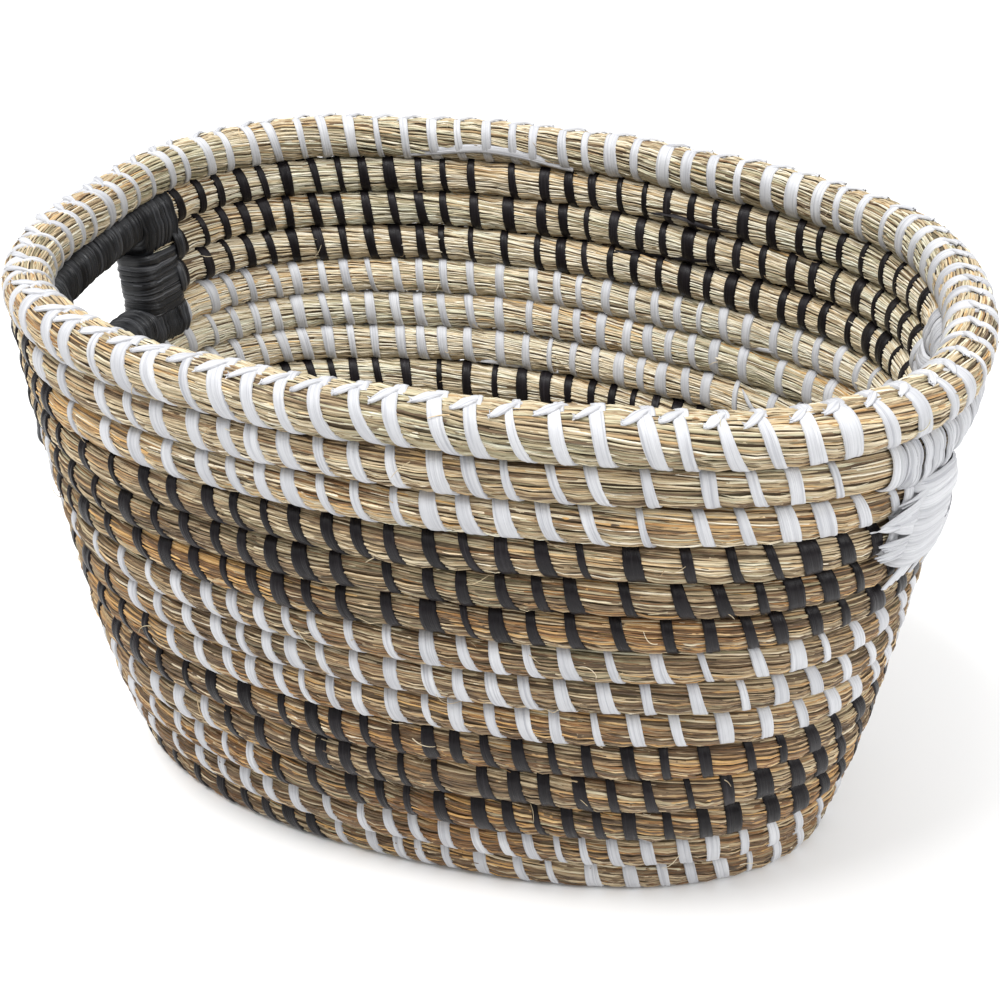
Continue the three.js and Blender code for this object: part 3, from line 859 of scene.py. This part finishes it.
rim = coils[1]
rim_s = rim.s_at(places[1])
n = len(rim_s)
t = np.linspace(0, 1, 22)[None, :]
at_right = np.exp(-((wrap(places[1]) / RIGHT_END_SPAN) ** 2))[:, None]
back_reach = rng.uniform(2.6, 4.6, (n, 1))
front_reach = rng.uniform(6.4, 8.6, (n, 1)) * (1 - 0.45 * at_right)
s = rim_s[:, None] + 1.0 + back_reach * (1 - t) ** 1.1 - (front_reach + 1.0) * t**1.25
sweep = rng.uniform(0.85, 1.15, (n, 1)) * (1 - 0.4 * at_right)
theta = (FLAP_FROM - FLAP_SWEEP * sweep * (3 * t**2 - 2 * t**3)) * DEG
width = rng.uniform(2.5, 3.7, (n, 1)) * (0.2 + 0.8 * np.clip(t / 0.55, 0, 1) ** 0.9)
width = width * (1 - rng.uniform(0.3, 0.75, (n, 1)) * np.clip((t - 0.62) / 0.38, 0, 1) ** 1.3)
width = width * (1 + 0.16 * np.sin(TURN * 1.3 * t + rng.uniform(0, TURN, (n, 1))))
arch = np.clip(np.sin(math.pi * np.clip(0.03 + t * 0.74, 0, 1)), 0, 1) ** 0.7
lift = -1.7 + 2.9 * arch + rng.uniform(0, 0.25, (n, 1))
points, uv = ribbons(rim, s, theta, lift, width, crown=0.12, skirt=1.0, crease=0.14)
flap_parts = [(points, uv, 0.1 + 0.6 * rng.random(n)[:, None, None], 0.0)]

# The flaps' frayed ends
base = np.repeat(np.arange(n), THREADS)
t = np.linspace(0, 1, 5)[None, :]
fan = np.tile(np.linspace(-1, 1, THREADS), n)[:, None]
s_end = (rim_s[:, None] - front_reach)[base] + 0.8
s = s_end - t * rng.uniform(0.2, 1.5, (n * THREADS, 1))
theta_end = ((FLAP_FROM - FLAP_SWEEP * sweep) * DEG)[base] + fan * 0.07
theta = theta_end + t * (fan * 0.03 + rng.normal(0, 0.04, (n * THREADS, 1)))
lift = 1.0 + 0.6 * t * rng.uniform(-0.8, 1.3, (n * THREADS, 1))
points, uv = ribbons(rim, s, theta, lift, 0.6 * (1 - 0.65 * t), crown=0.1, skirt=0.4, crease=0.02)
flap_parts.append((points, uv, 0.4, 0.0))
piece("rim_crest_flaps", flap_parts, WHITE, "light_strip", ["rim_crest_plait"])

# ---- Hand holes ----


def bar_windings(coil, start, end, pitch, width):
    """Strip wound round a bar, each turn a closed loop that overlaps the last."""
    end = end + coil.length if end < start else end
    n = int((end - start) / pitch)
    s0 = np.linspace(start + width * 0.4, end - width * 0.4, n)[:, None]
    s0 = s0 + rng.normal(0, 0.3, (n, 1))
    t = np.linspace(0, 1, 49)[None, :]
    phase = rng.uniform(-0.5, 0.5, (n, 1))
    s = s0 + rng.normal(0.9, 0.6, (n, 1)) * np.sin(TURN * t + phase)
    s = s + 0.22 * np.sin(3 * TURN * t + rng.uniform(0, TURN, (n, 1)))
    theta = TURN * t + math.pi * 1.5 + 0 * s
    lift = 0.95 + rng.uniform(0, 0.8, (n, 1)) + 0 * s
    widths = width * rng.uniform(0.55, 1.35, (n, 1)) * (1 + 0.12 * np.sin(TURN * t + phase * 6))
    tilt = 0.42 + rng.normal(0, 0.3, (n, 1, 1))
    points, uv = ribbons(coil, s, theta, lift, widths, 0.25, skirt=1.0, crease=0.22, tilt=tilt)
    return points, uv, *strip_shades(n)


# A post's half thickness and its lowest level, from the middle of row 3
POST_THICK, POST_LOW = 10.6, -31.0
CREASE_WIDE, CREASE_DEEP = 1.7, 1.7
# A winding's section round a post
WINDING_ACROSS = np.array([-1.0, -0.96, -0.6, -0.2, 0.2, 0.6, 0.96, 1.0])
WINDING_DROP = np.array([-1.2, -0.12, 0, 0, 0, 0, -0.12, -1.2])


def post_windings(coil, centre, half, high, pitch, width, groove, proud):
    """Strip wound round the cut coil ends beside a hole, over a filled core.

    groove is the place of a crease on the inside, as a share of half, or 0 for none.
    proud is how far the foot of the post stands out.
    """
    theta = np.linspace(0, TURN, 57)

    def loop(angle, grow, level):
        c, si = np.cos(angle), np.sin(angle)
        along = (half + grow) * np.sign(c) * np.abs(c) ** 0.6
        out = (POST_THICK + grow) * np.sign(si) * np.abs(si) ** 0.66
        crease = np.exp(-(((along - groove * half) / CREASE_WIDE) ** 2)) * (si < 0) * (groove != 0)
        bulge = proud * np.clip(si, 0, 1) ** 0.5 * np.clip((high - level) / 9.0, 0.1, 1)
        return along, out + CREASE_DEEP * crease + bulge

    levels = np.linspace(POST_LOW - 1, high + 1, 9)[None, :, None]
    full = np.array([0.7, 0.95, 1, 1, 1, 1, 1, 0.95, 0.7])[None, :, None]
    along, out = loop(theta, 0.0, levels)
    s = centre + along * full
    up = levels + 0 * s
    points = coil.offset(s, out * full, up)
    uv = np.stack([theta * 0.006 + 0 * s, up * MM], -1)
    filling = (points, uv, 0.3, 0.0)
    n = int((high - POST_LOW) / pitch)
    height = np.linspace(POST_LOW + width * 0.35, high - width * 0.35, n)[:, None, None]
    height = height + rng.normal(0, 0.35, (n, 1, 1))
    across = WINDING_ACROSS
    ridge = rng.normal(0, 0.2, (n, 1, 8)) * (np.abs(across) < 0.9)
    grow = 0.75 + 0.3 * (1 - across**2) + WINDING_DROP + ridge
    grow = grow + rng.uniform(0, 0.6, (n, 1, 1)) - (0.25 + rng.normal(0, 0.2, (n, 1, 1))) * across
    angle = theta[None, :, None]
    along, out = loop(angle, grow, height)
    widths = width * rng.uniform(0.7, 1.25, (n, 1, 1))
    widths = widths * (1 + 0.14 * np.sin(angle + rng.uniform(0, TURN, (n, 1, 1))))
    wavy = 0.5 * np.sin(2 * angle + rng.uniform(0, TURN, (n, 1, 1)))
    wavy = wavy + rng.normal(0, 0.8, (n, 1, 1)) * np.cos(angle)
    up = height + across * widths / 2 + wavy
    s = centre + along
    points = coil.offset(s, out + 0 * s, up)
    u = angle * 0.011 + rng.uniform(0, 3, (n, 1, 1)) + 0 * s
    uv = np.stack([u, across * widths * 0.0005 + 0 * s], -1)
    return [filling, (points[:, ::-1], uv[:, ::-1], rng.random(n)[:, None, None], 0.0)]


def post_zone(coil, hole):
    """1 beside a hand hole, 0 over it."""
    away = np.abs(wrap(coil.degrees - hole))
    return np.clip((away - HOLE - 0.4) / 1.0, 0, 1) * (away < BINDING[hole] + 3)


def slack_loops(hole, count):
    """Loose turns round the cut rows' ends, just beyond the posts."""
    parts = []
    t = np.linspace(0, 1, 45)[None, :]
    for turn, row in ((turn, row) for turn in (-1, 1) for row in CUT_ROWS):
        coil = coils[row]
        s0 = coil.s_at(hole + turn * (BINDING[hole] + 0.35))
        s0 = s0 + turn * rng.uniform(0, 3.2, (count, 1))
        bulge = turn * rng.uniform(1.6, 4.6, (count, 1)) * np.sin(TURN * t + 3.6)
        theta = TURN * t + math.pi / 2 + 0 * bulge
        lift = 1.0 + rng.uniform(0.4, 2.6, (count, 1)) * np.clip(np.sin(TURN * t + 0.3), 0, 1)
        widths = rng.uniform(1.8, 4.2, (count, 1))
        points, uv = ribbons(coil, s0 + bulge, theta, lift, widths, crown=0.3, skirt=0.9)
        parts.append((points, uv, rng.random(count)[:, None, None], 0.0))
    return parts


# bars: row, how far it reaches beside the hole, degrees by which its winding starts early
# winding: pitch and width of the strip round the bars
# posts: way from the hole, degrees past the binding's end, degrees into the hole
# post: top level, pitch and width of the strip, crease and proudness
ENDS = {
    "left": {
        "hole": LEFT_HOLE, "look": BLACK_WOUND, "slot": "dark_strip", "loops": 3,
        "bars": {"top": (2, 10.5, 0), "lower": (5, 3.0, 0)},
        "winding": (1.55, 2.9),
        "posts": {"back": (-1, 0.2, -0.3), "front": (1, 0.2, -0.3)},
        "post": (2.0, 1.9, 3.7, -0.18, 0.0),
    },
    "right": {
        "hole": RIGHT_HOLE, "look": WHITE, "slot": "light_strip", "loops": 2,
        "bars": {"top": (2, 3.0, 5.7), "lower": (5, 3.0, -5.1)},
        "winding": (2.0, 3.0),
        "posts": {"back": (1, 0.2, -0.3), "front": (-1, 1.0, 2.2)},
        "post": (9.6, 2.4, 5.0, 0.0, 3.4),
    },
}
upper, lower = coils[3], coils[5]
for end, make in ENDS.items():
    hole, look, slot = make["hole"], make["look"], make["slot"]
    for label, (row, stretch, early) in make["bars"].items():
        coil = coils[row]
        coil.stretch = post_zone(coil, hole) * stretch
        start = coil.s_at(hole - BINDING[hole] + 0.2 - early)
        stop = coil.s_at(hole + BINDING[hole] - 0.2)
        parts = [bar_windings(coil, start, stop, *make["winding"])]
        coil.stretch = 0 * coil.stretch
        name = f"{end}_handle_{label}_binding"
        piece(name + "_strips", parts, look, slot, [name])
    high, pitch, width, groove, proud = make["post"]
    for label, (way, past, into) in make["posts"].items():
        near = upper.s_at(hole + way * (HOLE - into))
        far = upper.s_at(hole + way * (BINDING[hole] + past))
        middle, half = (near + far) / 2, abs(far - near) / 2
        parts = post_windings(upper, middle, half, high, pitch, width, groove * way, proud)
        name = f"{end}_handle_{label}_binding"
        piece(name + "_strips", parts, look, slot, [name])
    piece(f"{end}_handle_slack_loops", slack_loops(hole, make["loops"]), look, slot)


def fan(coil, starts, ends, bend, widths, taper, twist=0.0):
    """Strips from starts to ends, each (degrees, up, out), through a middle raised by bend."""
    paths = []
    for (a, ua, oa), (b, ub, ob) in zip(starts, ends):
        sa, sb = coil.s_at(a), coil.s_at(b)
        middle = ((sa + sb) / 2, (ua + ub) / 2 + bend, (oa + ob) / 2 + 0.9)
        paths.append([(sa, ua, oa), middle, (sb, ub, ob)])
    return face_ribbons(coil, paths, widths, taper, twist=twist)


fan_parts = [
    fan(upper, [(338.0, 4.0 - 2.3 * i, 12.6) for i in range(10)],
        [(331.2 + 0.1 * i, -6.8 - 0.16 * i, 11.5 + 0.1 * (i % 2)) for i in range(10)],
        0.3, [4.4] * 10, to_tip, 0.12),
    fan(upper, [(337.6, 6.5, 12.4), (337.4, 4.2, 12.4)],
        [(333.0, 1.2, 10.9), (333.6, -0.8, 11.0)],
        -0.6, [2.6, 2.8], to_point, 0.4),
    fan(upper, [(334.0, -8.0, 12.3)], [(330.0, -7.6, 11.2)], 0.8, [3.6], to_point, 1.3),
    fan(lower, [(338.0, 21.0 - 1.7 * i, 12.4) for i in range(6)],
        [(332.4 + 0.5 * (i % 3), 20.4 - 1.9 * i, 11.0) for i in range(6)],
        0.2, [3.4, 3.0, 3.6, 2.8, 3.2, 2.6], to_tip, 0.3),
    fan(lower, [(339.0 + 0.75 * i, 19.0 - 0.4 * i, 12.8) for i in range(4)],
        [(336.2 + 0.8 * i, -8.6 + 1.2 * i, 10.2 + 0.25 * i) for i in range(4)],
        0.0, [4.6] * 4, to_fray),
    fan(lower, [(342.2 + 0.75 * i, 17.0 - 0.4 * i, 13.0) for i in range(3)],
        [(340.4 + 0.8 * i, -6.6 + 1.4 * i, 11.2) for i in range(3)],
        0.0, [4.2] * 3, to_fray),
    fan(lower, [(344.4 + 1.2 * i, 15.0 - 1.2 * i, 13.2 - 0.33 * i) for i in range(7)],
        [(343.2 + 1.3 * i, -7.6 + 2.2 * (i % 2), 11.4) for i in range(7)],
        0.0, [3.6, 4.8, 3.8, 4.4, 4.0, 4.4, 4.0], to_fray),
]
piece("right_handle_fanned_strips", fan_parts, WHITE, "light_strip")

# ---- Loose ends inside, and stray fibres ----

LONG_TAIL = [
    (123.5, -0.85), (118, -0.55), (113, -0.36), (108, -0.27), (100, -0.38), (94, -0.60), (90, -0.75)
]
FIBRES, FIBRE_STEPS, FIBRE_WIDTH = 22, 9, 0.42


def tail(row, stops, width, twist=0.3, lift=1.5):
    """Strip on the inside of a row through stops, each (degrees, share of the half height)."""
    coil, half = coils[row], coil_thickness(row) / 2
    path = [(coil.s_at(a), half * z, half * math.sqrt(1 - z * z) + lift) for a, z in stops]
    return face_ribbons(coil, [path], [width], from_tip, side=-1, steps=26, twist=twist)


light_tails = [
    tail(1, LONG_TAIL, 4.6, 0.0, 0.9),
    tail(7, [(109, -0.95), (104, -0.80), (98, -0.93), (92, -0.98), (88.5, -0.75)], 2.9, 0.7),
    tail(7, [(47, 0.75), (44, 0.0), (41, -0.95)], 2.0),
    tail(5, [(49, -0.98), (46, -0.7), (43, -0.5)], 2.2),
]
dark_tails = [
    tail(2, [(72, -0.5), (66, -0.35), (60, -0.62), (54, -0.5)], 2.3, 0.9),
    tail(4, [(80, 0.75), (74, 0.9), (69, 0.96)], 2.0),
    tail(3, [(69, -0.95), (64, -0.7), (59, -0.5)], 2.0),
]
piece("inside_light_tails", light_tails, WHITE, "light_strip")
piece("inside_dark_tails", dark_tails, BLACK, "dark_strip")

fibre_parts = []
t = np.linspace(0, 1, FIBRE_STEPS)[None, :]
size = (FIBRES, 1)
for row, coil in coils.items():
    theta = rng.uniform(-80, 260, size) * DEG
    turn = rng.normal(0, 1.1, size)
    length = rng.uniform(3, 15, size)
    heading = rng.normal(0, 0.5, size) + turn * t
    s = rng.uniform(0, coil.length, size)
    along = np.cumsum(np.cos(heading), 1) * length / FIBRE_STEPS
    s = s + along * rng.choice([-1, 1], size)
    theta = theta + np.cumsum(np.sin(heading), 1) * length / FIBRE_STEPS / STRIP_RADIUS
    lift = 0.3 + rng.uniform(0.2, 3.0, size) * np.sin(t * rng.uniform(1.2, 2.9, size))
    if row in CUT_ROWS:
        keep = past_binding(coil.degrees_at(s[:, 0])) > 2.5
        s, theta, lift = s[keep], theta[keep], lift[keep]
    width = FIBRE_WIDTH * (1 - 0.6 * t)
    points, uv = ribbons(coil, s, theta, lift, width, crown=0.08, skirt=0.15, crease=0.01)
    tone, warm = rng.uniform(0.3, 0.8, len(s)), rng.normal(0, 0.5, len(s))
    fibre_parts.append((points, uv, tone[:, None, None], warm[:, None, None]))
piece("loose_fibres", fibre_parts, GRASS, "seagrass_coil")

# ---- Floor, light and camera ----

FLOOR, FLOOR_DROP = 6, 0.0006
CAMERA_TURN, CAMERA_RISE, CAMERA_FAR = math.radians(16.884), math.radians(31.619), 0.7936

floor_mesh = bpy.data.meshes.new("floor")
corners = [(-FLOOR, -FLOOR, 0), (FLOOR, -FLOOR, 0), (FLOOR, FLOOR, 0), (-FLOOR, FLOOR, 0)]
floor_mesh.from_pydata(corners, [], [(0, 1, 2, 3)])
floor = bpy.data.objects.new("floor", floor_mesh)
floor.location.z = -FLOOR_DROP
scene.collection.objects.link(floor)
paint = Nodes("pale_floor")
paint.shader.inputs["Base Color"].default_value = (0.82, 0.82, 0.82, 1)
paint.shader.inputs["Roughness"].default_value = 0.9
floor_mesh.materials.append(paint.material)

# A white world, dim near the horizon and bright overhead
world = bpy.data.worlds.new("studio")
world.use_nodes = True
sky = world.node_tree
direction = sky.nodes.new("ShaderNodeTexCoord")
height = sky.nodes.new("ShaderNodeSeparateXYZ")
brightness = sky.nodes.new("ShaderNodeMapRange")
sky.links.new(direction.outputs["Generated"], height.inputs[0])
sky.links.new(height.outputs["Z"], brightness.inputs["Value"])
for label, value in (("From Min", 0.12), ("From Max", 0.8), ("To Min", 0.12), ("To Max", 1.38)):
    brightness.inputs[label].default_value = value
background = sky.nodes["Background"].inputs
sky.links.new(brightness.outputs["Result"], background["Strength"])
background["Color"].default_value = (1, 1, 1, 1)
scene.world = world


def softbox(name, place, aim, size, power):
    data = bpy.data.lights.new(name, "AREA")
    data.shape = "SQUARE"
    data.size = size
    data.energy = power
    obj = bpy.data.objects.new(name, data)
    obj.location = place
    obj.rotation_mode = "QUATERNION"
    obj.rotation_quaternion = (Vector(aim) - Vector(place)).to_track_quat("-Z", "Y")
    scene.collection.objects.link(obj)


softbox("key", (-1.1, -1.1, 3.6), (0, 0, 0.15), 1.6, 127)
softbox("kicker", (1.9, -0.45, 1.4), (0, 0, 0.2), 0.7, 21)

# The camera looks at the middle of the wall
aim = Vector((CENTRE[0], CENTRE[1], (FOOT_LEVEL + RIM_LEVEL) / 2000))
level = math.cos(CAMERA_RISE)
back = (math.sin(CAMERA_TURN) * level, -math.cos(CAMERA_TURN) * level, math.sin(CAMERA_RISE))
back = Vector(back)
camera = bpy.data.objects.new("camera", bpy.data.cameras.new("camera"))
scene.collection.objects.link(camera)
camera.location = aim + back * CAMERA_FAR
camera.rotation_mode = "QUATERNION"
camera.rotation_quaternion = (-back).to_track_quat("-Z", "Y")
camera.data.sensor_width = 36
camera.data.lens = 57.144
camera.data.shift_x = 0.0241
camera.data.shift_y = 0.0147
camera.data.clip_start = 0.05
camera.data.clip_end = 30
scene.camera = camera
scene.view_settings.view_transform = "Standard"
